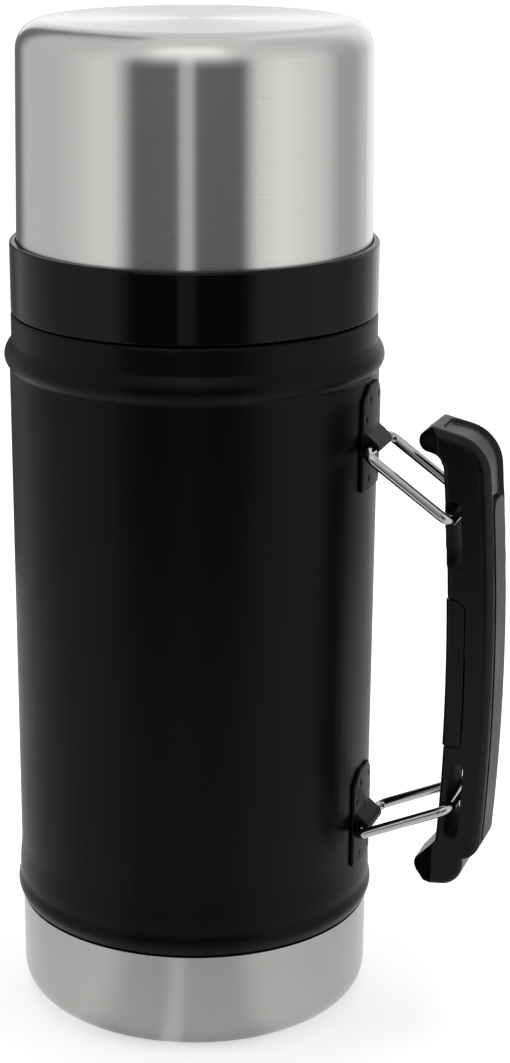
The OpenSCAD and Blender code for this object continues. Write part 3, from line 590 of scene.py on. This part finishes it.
def add_floor():
    """White floor that keeps the jar's shadow: camera and mirror rays also see it glow, with painted shade
    beside the jar for the camera and painted light there for mirror rays.
    """
    floor = plane("floor", FLOOR_SIZE)
    shader = Shader("floor_white", Base_Color=(0.8, 0.8, 0.8, 1), Roughness=0.9, Specular_IOR_Level=0.0)
    path = shader.add("ShaderNodeLightPath")
    seen = shader.add("ShaderNodeMath", operation="MULTIPLY")
    reach = shader.add("ShaderNodeVectorMath", operation="LENGTH")
    shader.link(shader.coordinates((1, 1, 1)), reach.inputs[0])
    # the camera's glow is dimmer beside the jar: painted shade round the jar's foot
    white = shader.remap(reach.outputs["Value"], FLOOR_NEAR_R, FLOOR_FAR_R, FLOOR_NEAR, FLOOR_WHITE)
    shader.link(white, seen.inputs[1])
    mirrored = shader.add("ShaderNodeMath", operation="MULTIPLY_ADD")
    close = shader.add("ShaderNodeMath", operation="ADD")
    # painted light for mirror rays beside the jar, over the jar's own shadow
    painted_close_light = shader.remap(reach.outputs["Value"], FLOOR_NEAR_R, FLOOR_FAR_R, FLOOR_CLOSE, 0)
    shader.link(painted_close_light, close.inputs[0])
    shader.link(floor_bands(shader), close.inputs[1])
    shader.link(close.outputs[0], mirrored.inputs[1])
    light = shader.add("ShaderNodeEmission")
    both = shader.add("ShaderNodeAddShader")
    shader.link(path.outputs["Is Camera Ray"], seen.inputs[0])
    shader.link(path.outputs["Is Glossy Ray"], mirrored.inputs[0])
    shader.link(seen.outputs[0], mirrored.inputs[2])
    shader.link(mirrored.outputs[0], light.inputs["Strength"])
    shader.link(shader.surface.outputs[0], both.inputs[0])
    shader.link(light.outputs[0], both.inputs[1])
    shader.link(both.outputs[0], shader.nodes["Material Output"].inputs["Surface"])
    floor.data.materials.append(shader.material)


def float_mix(nodes, links, factor, low, high):
    """Node that goes from low to high with a factor; each may be a number or an output."""
    mix = nodes.new("ShaderNodeMix")
    mix.data_type = "FLOAT"
    links.new(factor, mix.inputs[0])
    for socket, value in ((mix.inputs[2], low), (mix.inputs[3], high)):
        if isinstance(value, (int, float)):
            socket.default_value = value
        else:
            links.new(value, socket)
    return mix.outputs[0]


def add_world():
    """White to the camera, softer as a light, and to reflections a sky that is brightest at the horizon."""
    world = bpy.data.worlds.new("studio")
    world.use_nodes = True
    nodes, links = world.node_tree.nodes, world.node_tree.links
    path = nodes.new("ShaderNodeLightPath")
    place = nodes.new("ShaderNodeTexCoord")
    height = nodes.new("ShaderNodeSeparateXYZ")
    sky = nodes.new("ShaderNodeMapRange")
    links.new(place.outputs["Generated"], height.inputs[0])
    links.new(height.outputs["Z"], sky.inputs["Value"])
    limits = {"From Min": SKY_RISE[0], "From Max": SKY_RISE[1], "To Min": SKY_BACK, "To Max": SKY_HIGH}
    for name, number in limits.items():
        sky.inputs[name].default_value = number
    lit = float_mix(nodes, links, path.outputs["Is Glossy Ray"], WORLD_LIGHT, sky.outputs["Result"])
    strength = float_mix(nodes, links, path.outputs["Is Camera Ray"], lit, 1.0)
    links.new(strength, nodes["Background"].inputs["Strength"])
    nodes["Background"].inputs["Color"].default_value = (1, 1, 1, 1)
    bpy.context.scene.world = world


def add_softbox(name, azimuth, height, distance, size, power):
    """An area lamp round the jar: azimuth in degrees from the camera's side, aimed at the jar's middle."""
    data = bpy.data.lights.new(name, "AREA")
    data.shape = "RECTANGLE"
    data.size = size
    data.size_y = size
    data.energy = power
    lamp = bpy.data.objects.new(name, data)
    turn = math.radians(CAMERA_AZIMUTH + azimuth)
    lamp.location = (distance * math.sin(turn), -distance * math.cos(turn), height)
    aim = Vector(LAMP_AIM) - lamp.location
    lamp.rotation_euler = aim.to_track_quat("-Z", "Y").to_euler()
    lamp.visible_glossy = False
    bpy.context.scene.collection.objects.link(lamp)


def wall_brightness(azimuth, top_share):
    """Brightness of the reflected wall between the named azimuths."""
    for (start, *low), (end, *high) in zip(WALL, WALL[1:]):
        if start <= azimuth <= end:
            share = (azimuth - start) / (end - start)
            foot, top = (a + (b - a) * share for a, b in zip(low, high))
            return foot + (top - foot) * top_share
    return WALL[0][1]


def add_reflection_wall():
    """Round wall of flags and softboxes that only reflections see."""
    steps = WALL_STEPS
    azimuths = [-180 + 360 * i / steps for i in range(steps)]
    turns = [math.radians(CAMERA_AZIMUTH + azimuth) for azimuth in azimuths]
    points = [(WALL_RADIUS * math.sin(turn), -WALL_RADIUS * math.cos(turn), z)
              for z, share in WALL_ROWS for turn in turns]
    levels = [wall_brightness(azimuth, share) for z, share in WALL_ROWS for azimuth in azimuths]
    faces = []
    for row in range(len(WALL_ROWS) - 1):
        for i in range(steps):
            if row == 0 or abs(azimuths[i]) < BACK_AZIMUTH:
                j = (i + 1) % steps
                first = row * steps
                faces.append((first + i, first + j, first + steps + j, first + steps + i))
    mesh = bpy.data.meshes.new("reflection_wall")
    mesh.from_pydata(points, [], faces)
    glow = mesh.color_attributes.new("glow", "FLOAT_COLOR", "POINT")
    for point, level in zip(glow.data, levels):
        point.color = (level, level, level, 1)
    wall = bpy.data.objects.new("reflection_wall", mesh)
    bpy.context.scene.collection.objects.link(wall)
    only_reflections(wall)
    shader = Shader("reflection_wall")
    level = shader.add("ShaderNodeAttribute", attribute_name="glow")
    light = shader.add("ShaderNodeEmission")
    shader.link(level.outputs["Color"], light.inputs["Color"])
    shader.link(light.outputs[0], shader.nodes["Material Output"].inputs["Surface"])
    wall.data.materials.append(shader.material)


def only_reflections(thing):
    for ray in ("camera", "diffuse", "transmission", "volume_scatter", "shadow"):
        setattr(thing, "visible_" + ray, False)


def add_studio():
    add_floor()
    add_world()
    add_softbox("softbox_left", azimuth=-75, height=0.45, distance=1.1, size=0.9, power=3)
    add_softbox("softbox_right", azimuth=70, height=0.45, distance=1.1, size=0.9, power=3)
    add_softbox("softbox_top", azimuth=180, height=1.4, distance=0.3, size=0.9, power=5)
    add_reflection_wall()


bpy.context.scene.view_settings.view_transform = "Standard"
add_camera()
finishes = dress_nodes()
slot_plastic = moulded_plastic("slot_plastic", grey=0.012, rough=0.7, specular=0.12, grain=0.00004)
add_handle(finishes["handle"], slot_plastic)
for node in ("upper_bracket", "lower_bracket"):
    add_bracket(node, finishes["bracket"])
add_shell(finishes["coat"], finishes["vessel"])
add_threads(finishes["vessel"], finishes["collar"], finishes["stopper"])
add_studio()
